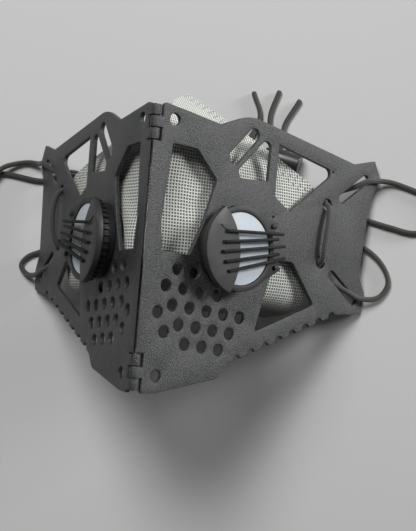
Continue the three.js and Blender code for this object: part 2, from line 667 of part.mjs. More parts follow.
const part = new THREE.Group();
part.add(mask);
for (const side of ['right', 'left']) {
  const cord = new THREE.Mesh(cordGeometry(CORD_ROUTES[side]), finish(COLOURS.cord, 0.7));
  cord.name = `${side}_cord`;
  part.add(cord);

  const place = LOCK_PLACES[side];
  const lock = new THREE.Mesh(lockGeometry(), finish(COLOURS.lock, 0.4));
  lock.name = `${side}_cord_lock`;
  lock.position.set(place.x, place.y, LOCK.radius);
  lock.rotation.z = place.turn;
  part.add(lock);
}

export default part;
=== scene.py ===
"""Looks of a folding face mask: pierced plates, filter cup, finned valves and elastic ear cords.

Sizes are in millimetres in each piece's own axes and become metres when a piece is placed.
"""

import math

import bmesh
import bpy
import numpy as np
from mathutils import Matrix, Vector
from mathutils.geometry import delaunay_2d_cdt


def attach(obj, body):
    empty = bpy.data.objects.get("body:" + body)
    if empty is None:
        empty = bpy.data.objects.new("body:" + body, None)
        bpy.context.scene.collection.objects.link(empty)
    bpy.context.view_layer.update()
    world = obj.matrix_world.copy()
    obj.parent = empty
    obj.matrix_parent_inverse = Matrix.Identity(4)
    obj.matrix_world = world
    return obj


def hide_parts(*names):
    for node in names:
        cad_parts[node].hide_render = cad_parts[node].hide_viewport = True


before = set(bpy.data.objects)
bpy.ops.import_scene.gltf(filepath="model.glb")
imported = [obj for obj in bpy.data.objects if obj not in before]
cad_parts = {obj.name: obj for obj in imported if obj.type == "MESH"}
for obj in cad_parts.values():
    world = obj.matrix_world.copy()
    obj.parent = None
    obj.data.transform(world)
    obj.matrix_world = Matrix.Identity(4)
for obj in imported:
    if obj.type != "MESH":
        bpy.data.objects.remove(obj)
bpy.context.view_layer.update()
scene = bpy.context.scene

MM = 0.001
BODY = "root"

# The resting mask: fold of each plate, tilt of the ridge and where the ridge's zero lies
HALF_FOLD = math.radians(39.5)
REST_TILT = math.radians(4.45)
RIDGE_ZERO = Vector((0, 41.5366, 99.5570))
SIN_FOLD, COS_FOLD = math.sin(HALF_FOLD), math.cos(HALF_FOLD)
SIDES = {"right": 1, "left": -1}
GAP = 0.3  # between neighbouring pieces

# Fineness of outlines and solids
ARC_STEP = math.radians(10)  # on rounded corners
SLOT_STEPS = 14  # on each end of a slot
MITRE_LIMIT = 0.35  # keeps sharp corners from running out when a loop is moved inwards
CORNER_SHARE = 0.45  # most of a profile's side that the rounding of one corner takes
INSIDE_TRIANGLES, POINT_GAP = 1, 1e-6  # what the triangulation gives, and its smallest distance
FAINT_BEVEL = {"bevel": 0.05, "steps": 1}

# Camera
CAMERA_PLACE = (0.122445, -0.074839, 0.533874)
CAMERA_RIGHT = (0.97486, 0.09615, -0.20099)
CAMERA_UP = (-0.06647, 0.98652, 0.14952)
CAMERA_FORWARD = (-0.21266, 0.13240, -0.96811)
CAMERA_LENS, SENSOR_WIDTH = 81.36, 36
CAMERA_CLIP = (0.01, 20)

# Ear cords: centre lines in metres, from tail to tail
CORD_RADIUS = 0.0012
CORD_ROUTES = {
    "right": [
        (0.0312, 0.0812, 0.0013), (0.028, 0.0695, 0.0013), (0.0292, 0.0616, 0.0015),
        (0.0346, 0.0546, 0.0039), (0.0341, 0.0489, 0.0046), (0.0324, 0.0414, 0.0043),
        (0.043, 0.0206, 0.0017), (0.0756, 0.0106, 0.0015), (0.0846, 0.003, 0.0013),
        (0.0876, -0.0048, 0.0014), (0.084, -0.0112, 0.002), (0.0763, -0.0128, 0.0056),
        (0.0703, -0.0106, 0.0106), (0.0624, -0.0068, 0.0137), (0.057, -0.0052, 0.0165),
        (0.0569, -0.0019, 0.0212), (0.0605, 0.0006, 0.0247), (0.0611, 0.0051, 0.0263),
        (0.062, 0.0186, 0.0263), (0.0615, 0.0235, 0.0252), (0.0579, 0.0265, 0.0223),
        (0.0563, 0.0297, 0.0175), (0.0591, 0.0275, 0.0115), (0.0694, 0.025, 0.005),
        (0.0762, 0.0232, 0.0016), (0.086, 0.0207, 0.0014), (0.0982, 0.0187, 0.0013),
        (0.1072, 0.023, 0.0013), (0.1066, 0.0318, 0.0013), (0.0884, 0.0403, 0.0017),
        (0.0811, 0.0409, 0.0041), (0.0763, 0.0396, 0.0089), (0.0698, 0.036, 0.0104),
        (0.0575, 0.0326, 0.01), (0.046, 0.0342, 0.0044), (0.037, 0.0388, 0.004),
        (0.0364, 0.0464, 0.0046), (0.0381, 0.0546, 0.0038), (0.0348, 0.0634, 0.0016),
        (0.041, 0.0772, 0.0013),
    ],
    "left": [
        (0.0193, 0.0803, 0.0013), (0.0232, 0.068, 0.0014), (0.012, 0.0488, 0.0037),
        (0.004, 0.0459, 0.0046), (-0.006, 0.0457, 0.0043), (-0.028, 0.045, 0.0016),
        (-0.0584, 0.0344, 0.0116), (-0.0697, 0.0362, 0.0104), (-0.0765, 0.04, 0.0088),
        (-0.0811, 0.0409, 0.0041), (-0.0885, 0.0416, 0.0017), (-0.0986, 0.038, 0.0041),
        (-0.1034, 0.032, 0.0034), (-0.1068, 0.0254, 0.0017), (-0.1118, 0.0218, 0.0013),
        (-0.1174, 0.0246, 0.0013), (-0.1172, 0.0314, 0.0013), (-0.11, 0.0352, 0.0013),
        (-0.0974, 0.0356, 0.0013), (-0.0776, 0.0333, 0.0013), (-0.0665, 0.038, 0.0014),
        (-0.0584, 0.0366, 0.0026), (-0.0554, 0.031, 0.0096), (-0.0579, 0.0262, 0.0222),
        (-0.0616, 0.0233, 0.0251), (-0.0631, 0.0122, 0.0258), (-0.0606, 0.0006, 0.0245),
        (-0.0569, -0.0019, 0.0212), (-0.057, -0.0052, 0.0165), (-0.0624, -0.0068, 0.0137),
        (-0.0703, -0.0106, 0.0106), (-0.0763, -0.0127, 0.0056), (-0.0812, -0.0119, 0.0025),
        (-0.0846, -0.0082, 0.0015), (-0.082, -0.0038, 0.0013), (-0.062, 0.0046, 0.0013),
        (-0.028, 0.0345, 0.0018), (-0.005, 0.0422, 0.0046), (0.006, 0.0421, 0.0046),
        (0.021, 0.0376, 0.0013),
    ],
}
CORD_SIDES = 14
CORD_STEPS = 10  # between two points of a route
DOME_ANGLES, DOME_HEIGHT = (0.5, 1.0), 0.6  # rings on a cord's ends, and the dome's height in radii

# Cord locks: barrel toggles lying on the floor
LOCK = {"radius": 4.6, "low": -5.6, "high": 9.0, "button": 3.4, "button_low": -8.4}
LOCK_ROUNDING = {"radius": 0.7, "steps": 5}
LOCK_SIDES = 48
LOCK_HOLE = {"width": 7.8, "height": 4.2, "length": 20.0, "corner": 1}
LOCK_PLACES = {
    "right": {"x": 35.5, "y": 48.5, "turn": math.radians(-14.5)},
    "left": {"x": 1.0, "y": 44.0, "turn": math.radians(-90)},
}

# Plates: u away from the hinge, v along it, w out of the front face; corner rows are (u, v, radius)
PLATE_THICKNESS = 2.0
PLATE_BEVEL = 0.42
RIDGE_GAP, RIDGE_BAND = 0.45, 1  # the sheet's points in the band are mitred along the ridge
POCKET_EDGE = 4.75  # where a hinge's pocket ends
KNUCKLE_RADIUS, KNUCKLE_LENGTH, KNUCKLE_PITCH = 2.0, 4.3, 4.7
KNUCKLE_ROUNDING, KNUCKLE_SIDES = 0.25, 40
HALF_HINGE = 1.5 * KNUCKLE_PITCH + GAP  # three knuckles make a hinge
TAB_BEVEL = 0.2
PIN_RADIUS, PIN_OVERHANG = 0.8, 0.4
PIN_ROUNDING, PIN_SIDES = 0.3, 28
PIN_BORE_SIDES, PIN_BORE_OVERRUN = 24, 1
HINGE_CENTRES = {"upper": -1.95, "lower": -99.1}
HINGE_AXIS = (KNUCKLE_RADIUS / math.tan(HALF_FOLD), -KNUCKLE_RADIUS)
KNUCKLE_PLACES = {"right": (0,), "left": (-1, 1)}
HOLE_RADIUS, HOLE_SIDES = 2.45, 36
HOLE_ORIGIN, HOLE_COLUMN, HOLE_ROW = (17.55, -57.9), (8.62, -0.63), (3.72, -7.47)
HOLE_ROWS = [(0, 0, 2), (1, -1, 4), (2, -1, 5), (3, -1, 4), (4, -1, 3), (2.5, -2, 1), (3.5, -2, 1)]
LONE_HOLES = [(10.6, 0), (11.1, -100), (95.4, -22.5), (93.8, -47.9)]
PIN_HOLES, PIN_HOLE_RADIUS, PIN_HOLE_SIDES = [(97.4, -8.1), (64.9, -31.6)], 0.4, 12
NOTCH_COUNT, NOTCH_RADIUS, NOTCH_FACETS = 8, 1.95, 12
NOTCH_FIRST, NOTCH_STEP = (103, -70.5), (-7.41, -3.06)
NOSE_TO_CHEEK = [
    (POCKET_EDGE, 6.2, 1.5), (33.7, 2.25, 2.5), (48.9, 8.45, 19), (110.4, -2.5, 1.2),
    (122.9, 0.75, 0.6), (127.2, -7.2, 1.6), (121.5, -17, 7), (117.9, -51, 7),
    (121.9, -58.8, 3), (120.3, -68.3, 1.8), (105.6, -69.5, 0),
]
CHIN_TO_HINGE = [(46, -94.4, 2.5), (41.8, -99.9, 5), (12, -106.7, 8), (POCKET_EDGE, -107.2, 1)]
WINDOWS = {
    "front": [
        (10.6, -9.3, 0.8), (22.7, -9.7, 1.8), (33.7, -20.7, 2), (28.6, -38.5, 20),
        (22.6, -51.8, 0.6), (9.3, -51.4, 0.8), (8, -40, 10),
    ],
    "narrow": [
        (39.3, -8.8, 0.8), (51.2, 4.4, 2.6), (55.2, 0.6, 2.6), (43, -13.2, 1), (39.8, -12.8, 1.2),
    ],
    "wedge": [(61.2, 3.3, 2.6), (60.6, -17.2, 0.5), (45.6, -17.9, 1.2), (44.6, -14.6, 1.2)],
    "upper_cheek": [(65.4, -1.1, 0.7), (99, -7.9, 2.5), (73.9, -28.1, 0.6), (65.1, -22.9, 1)],
    "lower_cheek": [
        (70.2, -49.4, 1.5), (77.6, -49.3, 3), (91.4, -66.3, 1), (59.3, -79.9, 0.8),
        (65.2, -58.3, 6),
    ],
}
CORD_SLOTS = [((104.2, -18.7), (117.5, -8.5), 1.95), ((100.9, -52.5), (114.9, -62.6), 1.9)]

# Valves: x along the fins, z out of the plate
VALVE_CENTRE = (42.7, -47.3)
VALVE_TURN = math.radians(8.5)
VALVE_SIDES, NECK_HOLE_SIDES = 96, 72
NECK_RADIUS, AIRWAY_RADIUS, TOWER_RADIUS, APERTURE_RADIUS = 14.0, 12.4, 15.9, 14.9
TOWER_ROUNDING = {"radius": 0.15, "steps": 2}
SEAT_HEIGHT, RIM_HEIGHT, RIM_THICKNESS, RIM_RADIUS = 6.5, 7.9, 1.5, 17.2
RIM_BEVEL, RIM_STEPS, MOUTH_STEPS = 0.2, 64, 10
HORN_REACH, HORN_ANGLE, HORN_ROOT = 22.0, math.radians(27), math.radians(62)
# A horn leaves the rim along its tangent for the pull, and its tip is cut off by the blunt
HORN_PULL, HORN_BLUNT, HORN_STEPS = 7, (0.5, -0.8), 12
KNURL = {"count": 40, "root": 16.5, "tip": 17.3, "low": 3.6, "high": 6.45}
# A tooth's corners: how far from its middle, as a share of half the pitch, and on which radius
KNURL_TOOTH = ((-0.62, "root"), (-0.42, "tip"), (0.42, "tip"), (0.62, "root"))
KNURL_BEVEL = {"bevel": 0.12, "steps": 2}
CLAMP_RADIUS, CLAMP_THICKNESS, CLAMP_ROUNDING = 16.4, 1.3, 0.3
MEMBRANE_THICKNESS, MEMBRANE_CROWN = 0.6, 0.4
CROWN_RINGS = (0.8, 0.6, 0.4, 0.2, 0)
COVER_RADIUS, COVER_THICKNESS, COVER_STEPS = 19.2, 1.4, 72
COVER_INNER_RADIUS, COVER_INNER_REACH = 26.3, -1.9
COVER_BEVEL = {"bevel": 0.35, "low_bevel": 0.1}
SKIRT_DEPTH, SKIRT_WALL, SKIRT_SINK, SKIRT_BEVEL = 1.1, 0.8, 0.4, 0.1
FIN = {"width": 1.3, "base": 0.5, "top": 1.1}
FIN_NOSE = {"share": 0.5, "reach": 0.55}
FIN_BEVEL = {"bevel": 0.5, "low_bevel": 0.1}
FIN_SPREAD, FIN_LIFT = 9.5, 0.02  # past the cover's edge or this far above it, all is fins
FINS = [
    ((-11.3, -0.6), (21.6, 0)),
    ((-10.3, 3.2), (18.2, 3)),
    ((-10.3, -4.7), (18.2, -3)),
    ((-8.8, 7.5), (21.2, 4.9)),
    ((-8.8, -8.6), (21.2, -4.9)),
]
# Shallow field around the fins' roots, from the open edge round by the hinge side
FIN_FIELD = [
    (1, 7, 0), (-8.3, 7.9, 1), (-10.2, 9, 1), (-11.3, 10.4, 0.8), (-12.6, 9.9, 1), (-13.4, 5, 20),
    (-13.2, -1.2, 8), (-11.1, -6.6, 20), (-9.3, -9.2, 0.8), (1, -8, 0),
]
FIELD_DEPTH, FIELD_OVERRUN = 0.3, 1
# Barbs at the horns' tips
BARB = [(15.9, 7.8, 0.5), (18.4, 7.4, 0.5), (18.7, 9.2, 0.6), (16.6, 9.6, 0.6)]
BARB_HEIGHT, BARB_SINK, BARB_BEVEL = 1.0, 0.4, 0.3

# Filter cup: sections from the chin to the nose as (seam v, seam drop, edge u, edge v, edge depth,
# ease); a greater ease brings a section sooner from its seam to the plate
FILTER_WALL, FILTER_DEPTH = 1.5, 4.0
FILTER_FLAT = (17.4, 23.0)  # flat within the first radius round a valve, free beyond the second
FILTER_STEPS = (110, 74)  # from chin to nose, and across each half
FILTER_BORE = (-20, 12)  # heights between which a valve's hole is cut
CLOTH_START = 6  # the section where the cloth's own length is set to v
FILTER_SECTIONS = [
    (-72.5, 66, 86, -73, 24, 1.5), (-71, 54, 88, -71.5, 16, 1.6), (-68.5, 42, 89.5, -69, 10, 1.8),
    (-64.5, 31, 90.3, -65, 6, 2.2), (-60, 22, 90.6, -59, 4.3, 2.8), (-55.5, 16, 90.7, -52, 4, 3),
    (-50, 12.5, 91, -44, 4, 3), (-25, 15, 91, -36, 4, 5), (-2, 11, 91.5, -27, 4, 1.3),
    (10, 26, 91.5, -21, 4, 1.3), (19.3, 51, 91.2, -16.2, 4, 1.3),
]


# Frames

def rest_matrix():
    """From the mask's own axes, in millimetres, to its resting place in metres."""
    return Matrix.Scale(MM, 4) @ Matrix.Translation(RIDGE_ZERO) @ Matrix.Rotation(REST_TILT, 4, "X")


def plate_matrix(side):
    axes = Matrix((
        (side * SIN_FOLD, 0, side * COS_FOLD, 0),
        (0, 1, 0, 0),
        (-COS_FOLD, 0, SIN_FOLD, 0),
        (0, 0, 0, 1),
    ))
    return rest_matrix() @ axes


def valve_matrix(side):
    centre = Matrix.Translation((*VALVE_CENTRE, 0))
    return plate_matrix(side) @ centre @ Matrix.Rotation(VALVE_TURN, 4, "Z")


# Curves and outlines

def catmull(points, steps):
    """A centripetal curve through the points, with so many steps between each two."""
    p = np.array(points, float)
    p = np.vstack([2 * p[0] - p[1], p, 2 * p[-1] - p[-2]])
    t = np.linspace(0, 1, steps, endpoint=False)[:, None]
    out = []
    for a, b, c, d in zip(p, p[1:], p[2:], p[3:]):
        k0, k1, k2 = (math.sqrt(np.linalg.norm(y - x)) for x, y in ((a, b), (b, c), (c, d)))
        m1 = k1 * ((b - a) / k0 - (c - a) / (k0 + k1) + (c - b) / k1)
        m2 = k1 * ((c - b) / k1 - (d - b) / (k1 + k2) + (d - c) / k2)
        out.append(b + m1 * t + (3 * (c - b) - 2 * m1 - m2) * t**2 + (2 * (b - c) + m1 + m2) * t**3)
    return np.vstack([*out, p[-2][None]])


def running(steps, axis=0):
    """Lengths from the start, from the lengths of the steps."""
    return np.insert(np.cumsum(steps, axis=axis), 0, 0, axis=axis)


def rounded(corners):
    """Corner rows (u, v, radius) as a closed outline with rounded corners."""
    points = []
    for i, (u, v, r) in enumerate(corners):
        here = Vector((u, v))
        if not r:
            points.append(here)
            continue
        back = (Vector(corners[i - 1][:2]) - here).normalized()
        ahead = (Vector(corners[(i + 1) % len(corners)][:2]) - here).normalized()
        half = math.acos(max(-1, min(1, back.dot(ahead)))) / 2
        centre = here + (back + ahead).normalized() * (r / math.sin(half))
        arm = here + back * (r / math.tan(half)) - centre
        sweep = math.pi - 2 * half
        turn = -math.copysign(sweep, back.x * ahead.y - back.y * ahead.x)
        steps = max(2, math.ceil(sweep / ARC_STEP))
        points += [centre + Matrix.Rotation(turn * k / steps, 2) @ arm for k in range(steps + 1)]
    return points


def arc(centre, radius, start, end, steps):
    angles = [start + (end - start) * k / steps for k in range(steps + 1)]
    x, y = centre
    return [Vector((x + radius * math.cos(a), y + radius * math.sin(a))) for a in angles]


def circle(centre, radius, sides):
    return arc(centre, radius, 0, 2 * math.pi, sides)[:-1]


def slot_outline(start, end, radius):
    heading = math.atan2(end[1] - start[1], end[0] - start[0])
    quarter = math.pi / 2
    far = arc(end, radius, heading - quarter, heading + quarter, SLOT_STEPS)
    return far + arc(start, radius, heading + quarter, heading + 3 * quarter, SLOT_STEPS)


def bezier(a, b, c, steps):
    """Points of a curve from a to c, drawn towards b, without its ends."""
    a, b, c = Vector(a), Vector(b), Vector(c)
    ts = [k / steps for k in range(1, steps)]
    return [a * (1 - t) ** 2 + b * 2 * t * (1 - t) + c * t**2 for t in ts]


# Solids

def area(loop):
    return sum(a.x * b.y - b.x * a.y for a, b in zip(loop, loop[1:] + loop[:1])) / 2


def inset(loop, distance):
    """The loop moved towards its left side."""
    moved = []
    for before, here, after in zip(loop[-1:] + loop[:-1], loop, loop[1:] + loop[:1]):
        a, b = (here - before).normalized(), (after - here).normalized()
        left = Vector((-a.y - b.y, a.x + b.x))
        moved.append(here + left * (distance / max(MITRE_LIMIT, 1 + a.dot(b))))
    return moved


def within(points, verts, edges):
    """Which points lie on material: they see an odd number of edges to their right."""
    ends = np.array([v.co.xy for v in verts])
    a, b = (ends[[e[k] for e in edges]] for k in (0, 1))
    level, rise = points[:, 1:2], b[:, 1] - a[:, 1]
    crossed = (a[:, 1] > level) != (b[:, 1] > level)
    place_x = a[:, 0] + (level - a[:, 1]) * (b[:, 0] - a[:, 0]) / np.where(rise == 0, 1, rise)
    return (crossed & (place_x > points[:, :1])).sum(axis=1) % 2 == 1


def slab(bm, outline, low, high, holes=(), bevel=0.25, steps=3, low_bevel=None):
    """A flat piece between two heights with rounded edges. Its broad faces are flat shaded."""
    low_bevel = bevel if low_bevel is None else low_bevel
    loops = [outline if area(outline) > 0 else outline[::-1]]
    loops += [h if area(h) < 0 else h[::-1] for h in holes]
    quarter = [math.pi / 2 * k / steps for k in range(steps + 1)]
    rows = [(bevel * (1 - math.sin(a)), high - bevel * (1 - math.cos(a))) for a in quarter]
    rows += [(low_bevel * (1 - math.cos(a)), low + low_bevel * (1 - math.sin(a))) for a in quarter]
    rings = []
    for loop in loops:
        loop_rings = [[bm.verts.new((*p, z)) for p in inset(loop, d)] for d, z in rows]
        rings.append(loop_rings)
        n = len(loop)
        for upper, lower in zip(loop_rings, loop_rings[1:]):
            for i in range(n):
                j = (i + 1) % n
                bm.faces.new((lower[i], lower[j], upper[j], upper[i])).smooth = True
    for end, flip in ((0, False), (-1, True)):
        verts = [v for loop_rings in rings for v in loop_rings[end]]
        edges, first = [], 0
        for loop_rings in rings:
            n = len(loop_rings[end])
            edges += [(first + i, first + (i + 1) % n) for i in range(n)]
            first += n
        flat = [v.co.xy for v in verts]
        found = delaunay_2d_cdt(flat, edges, [], INSIDE_TRIANGLES, POINT_GAP)
        faces, origins = found[2:4]
        faces = [[verts[origins[i][0]] for i in face] for face in faces]
        middles = np.array([sum((v.co for v in face), Vector()).xy / 3 for face in faces])
        for face, solid_here in zip(faces, within(middles, verts, edges)):
            if solid_here:
                bm.faces.new(face[::-1] if flip else face)


def lathe(bm, profile, sides):
    """A ring or disc from (radius, height) rows, closed on itself or on the axis."""
    closed = profile[0][0] > 0
    rings = []
    for radius, height in profile:
        if radius == 0:
            rings.append([bm.verts.new((0, 0, height))] * sides)
        else:
            rings.append([bm.verts.new((*p, height)) for p in circle((0, 0), radius, sides)])
    pairs = list(zip(rings, rings[1:])) + ([(rings[-1], rings[0])] if closed else [])
    for a, b in pairs:
        for i in range(sides):
            j = (i + 1) % sides
            corners = list(dict.fromkeys((a[i], a[j], b[j], b[i])))
            if len(corners) > 2:
                bm.faces.new(corners).smooth = True


def rod(radius, low, high):
    """The profile of a plain round rod."""
    return [(0, low), (radius, low), (radius, high), (0, high)]


def soft_profile(rows, radius=0.2, steps=3):
    """A profile of (radius, height) rows whose corners off the axis are rounded."""
    out = []
    for i, row in enumerate(rows):
        here = Vector(row)
        if rows[0][0] == 0 and i in (0, len(rows) - 1):
            out.append(tuple(here))
            continue
        a, b = Vector(rows[i - 1]) - here, Vector(rows[(i + 1) % len(rows)]) - here
        r = min(radius, CORNER_SHARE * a.length, CORNER_SHARE * b.length)
        start, end = here + a.normalized() * r, here + b.normalized() * r
        out += [tuple(start), *(tuple(p) for p in bezier(start, here, end, steps)), tuple(end)]
    return out


def solid(name, build, *args, **words):
    """A new object from a function that fills a bmesh."""
    bm = bmesh.new()
    build(bm, *args, **words)
    bmesh.ops.recalc_face_normals(bm, faces=bm.faces)
    mesh = bpy.data.meshes.new(name)
    bm.to_mesh(mesh)
    bm.free()
    obj = bpy.data.objects.new(name, mesh)
    scene.collection.objects.link(obj)
    return obj


def combine(base, others, operation="UNION"):
    """Joins or cuts the others into base, and removes them."""
    for other in others:
        step = base.modifiers.new(operation.lower(), "BOOLEAN")
        step.operation, step.object, step.solver = operation, other, "MANIFOLD"
    graph = bpy.context.evaluated_depsgraph_get()
    whole = bpy.data.meshes.new_from_object(base.evaluated_get(graph))
    base.modifiers.clear()
    base.data = whole
    for other in others:
        bpy.data.objects.remove(other)
    return base


def place(obj, matrix, material, slot, *nodes, sharp=30):
    """Sets a piece in its resting place, with material, body and the solids it replaces.

    Edges that turn by more than sharp, in degrees, are shaded as edges.
    """
    obj.data.transform(matrix)
    if matrix.determinant() < 0:
        obj.data.flip_normals()
    obj.data.set_sharp_from_angle(angle=math.radians(sharp))
    obj.data.materials.clear()
    obj.data.materials.append(material)
    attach(obj, BODY)
    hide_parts(*nodes)
    return obj


# Materials

class Shading:
    """A material with a principled shader and short ways to add nodes to it."""

    def __init__(self, name, **sockets):
        self.material = bpy.data.materials.new(name)
        self.material.use_nodes = True
        self.tree = self.material.node_tree
        self.shader = next(n for n in self.tree.nodes if n.type == "BSDF_PRINCIPLED")
        for socket, value in sockets.items():
            self.shader.inputs[socket.replace("_", " ")].default_value = value

    def add(self, kind, inputs=None, **settings):
        node = self.tree.nodes.new("ShaderNode" + kind)
        for key, value in settings.items():
            setattr(node, key, value)
        for socket, value in (inputs or {}).items():
            if isinstance(value, bpy.types.NodeSocket):
                self.tree.links.new(value, node.inputs[socket])
            else:
                node.inputs[socket].default_value = value
        return node

    def uv(self, layer):
        return self.add("UVMap", uv_map=layer).outputs[0]

    def split(self, vector):
        """The first two coordinates of a vector."""
        return self.add("SeparateXYZ", {0: vector}).outputs[:2]

    def math(self, operation, a, b=0.0, c=0.0):
        return self.add("Math", {0: a, 1: b, 2: c}, operation=operation).outputs[0]

    def noise(self, scale, detail=2.0, vector=None):
        """A noise with about so many cells to the metre."""
        vector = vector or self.add("TexCoord").outputs["Object"]
        inputs = {"Vector": vector, "Scale": scale, "Detail": detail}
        return self.add("TexNoise", inputs).outputs["Fac"]

    def band(self, value, low, high, to_low=0.0, to_high=1.0):
        """A smooth step from to_low, where the value is low, to to_high, where it is high."""
        ends = {"From Min": low, "From Max": high, "To Min": to_low, "To Max": to_high}
        node = self.add("MapRange", {"Value": value, **ends}, interpolation_type="SMOOTHSTEP")
        return node.outputs["Result"]

    def mix(self, share, a, b):
        return self.add("Mix", {0: share, 6: a, 7: b}, data_type="RGBA").outputs[2]

    def scaled(self, value, strength):
        return self.math("MULTIPLY", value, strength)

    def bump(self, height, distance, normal=None):
        """A relief so many metres deep, on top of an earlier one where that is given."""
        words = {"Height": height, "Distance": distance, "Strength": 1.0}
        if normal:
            words["Normal"] = normal
        return self.add("Bump", words).outputs["Normal"]

    def set(self, socket, value):
        self.tree.links.new(value, self.shader.inputs[socket])


def grey(level, blue=0.0):
    return (level * (1 - blue), level, level * (1 + blue), 1)


MOST = (0.3, 0.7)  # the range that most of a noise lies in
# Two tones are a dark and a pale one
PLATE_TONES, PLATE_WEAR = (grey(0.008, 0.04), grey(0.07, 0.04)), grey(0.045, 0.01)
MEMBRANE_TONES = (0.56, 0.62, 0.68, 1), (0.64, 0.7, 0.76, 1)
STEEL_TONES = grey(0.36), grey(0.52)
SHEATH_TONES = (0.022, 0.021, 0.019, 1), (0.075, 0.072, 0.064, 1)
SHEATH_WEAR = (0.1, 0.096, 0.086, 1)
LOCK_TONES = grey(0.028, 0.02), grey(0.045, 0.02)
CLOTH_TONES = (0.7, 0.72, 0.67, 1), (0.92, 0.94, 0.88, 1)
CLOTH_SHADE = (0.76, 0.77, 0.72, 1)
# The chin tone is a near black, laid on as painted shade over the cloth's chin panel
DOT_TONE, WELD_TONE, PAINTED_CHIN_SHADE = (0.07, 0.073, 0.067, 1), (0.1, 0.1, 0.09, 1), (0.02, 0.02, 0.02, 1)
FLOOR_TONES = grey(0.68), grey(0.74)


def plate_material():
    s = Shading("plate_grain", Specular_IOR_Level=0.75)
    grain, fine, wide = s.noise(1900, 2), s.noise(5200, 2), s.noise(45, 3)
    tone = s.mix(s.band(grain, 0.4, 0.6), *PLATE_TONES)
    s.set("Base Color", s.mix(s.scaled(s.band(wide, 0.45, 0.7), 0.25), tone, PLATE_WEAR))
    s.set("Roughness", s.band(grain, 0.25, 0.75, 0.38, 0.52))
    s.set("Normal", s.bump(fine, 0.0001, s.bump(grain, 0.00032)))
    return s.material


def valve_material(name, level, roughness, gloss=0.5):
    """Moulded plastic whose grey and roughness vary a little about these."""
    s = Shading(name, Specular_IOR_Level=gloss)
    wide, fine = s.noise(160, 3), s.noise(4200, 2)
    s.set("Base Color", s.mix(wide, grey(level * 0.85, 0.015), grey(level * 1.15, 0.015)))
    s.set("Roughness", s.band(wide, *MOST, roughness - 0.05, roughness + 0.07))
    s.set("Normal", s.bump(fine, 0.00002))
    return s.material


def membrane_material():
    s = Shading("soft_membrane", Specular_IOR_Level=0.45, Subsurface_Weight=0.15,
                Subsurface_Scale=0.002, Subsurface_Radius=(1, 1, 1))
    wide = s.noise(220, 2)
    s.set("Base Color", s.mix(wide, *MEMBRANE_TONES))
    s.set("Roughness", s.band(wide, *MOST, 0.3, 0.42))
    s.set("Normal", s.bump(s.noise(900, 2), 0.00003))
    return s.material


def steel_material():
    s = Shading("pin_steel", Metallic=1.0)
    spot = s.add("TexCoord").outputs["Object"]
    drawn = s.add("Mapping", {"Vector": spot, "Scale": (4, 0.3, 4)}).outputs[0]
    streak = s.noise(700, 3, drawn)
    s.set("Base Color", s.mix(streak, *STEEL_TONES))
    s.set("Roughness", s.band(streak, *MOST, 0.28, 0.45))
    s.set("Normal", s.bump(streak, 0.00001))
    return s.material


SHEATH_STRANDS, SHEATH_PITCH = 5, 0.0013


def cord_material():
    """Woven sheath: strands that cross round the cord, from its own turn and length."""
    s = Shading("cord_sheath", Sheen_Weight=0.35, Sheen_Roughness=0.45, Specular_IOR_Level=0.35)
    turn, length = s.split(s.uv("sheath"))
    around = s.scaled(turn, SHEATH_STRANDS * 2 * math.pi)
    along = s.scaled(length, 2 * math.pi / SHEATH_PITCH)
    one = s.math("SINE", s.math("ADD", along, around))
    two = s.math("SINE", s.math("SUBTRACT", along, around))
    weave = s.band(s.math("MAXIMUM", one, two), -0.4, 1.0)
    wide = s.noise(260, 3)
    tone = s.mix(weave, *SHEATH_TONES)
    s.set("Base Color", s.mix(s.scaled(wide, 0.35), tone, SHEATH_WEAR))
    s.set("Roughness", s.band(weave, 0.0, 1.0, 0.75, 0.55))
    s.set("Normal", s.bump(weave, 0.00012))
    return s.material


def lock_material():
    s = Shading("lock_plastic", Specular_IOR_Level=0.5, Coat_Weight=0.15, Coat_Roughness=0.2)
    wide = s.noise(190, 3)
    s.set("Base Color", s.mix(wide, *LOCK_TONES))
    s.set("Roughness", s.band(wide, *MOST, 0.26, 0.4))
    s.set("Normal", s.bump(s.noise(3000, 2), 0.00002))
    return s.material


# The cloth's pressed dots: pitch, then half widths from full to none as shares of the pitch
DOT_PITCH, DOT_EDGE = 0.00129, (0.2, 0.38)
WELD_PITCH, WELD_EDGE = 0.0026, (0.12, 0.22)
# Weld dots begin and end between these rows, counted from the nose edge
WELD_BEGIN, WELD_END = (0.35, 0.45), (2.95, 3.05)
# Painted shade: the cloth darkens below these rows within this reach of the seam, and all along the
# lower border
PAINTED_SHADE_ROWS = (-0.0565, -0.0525)
PAINTED_SHADE_REACH = (0.05, 0.066)
PAINTED_SHADE_BORDER = (-0.076, -0.064)
DOT_STRENGTH, WELD_STRENGTH, PAINTED_SHADE_STRENGTH, SHADE_STRENGTH = 0.95, 0.9, 0.9, 0.2


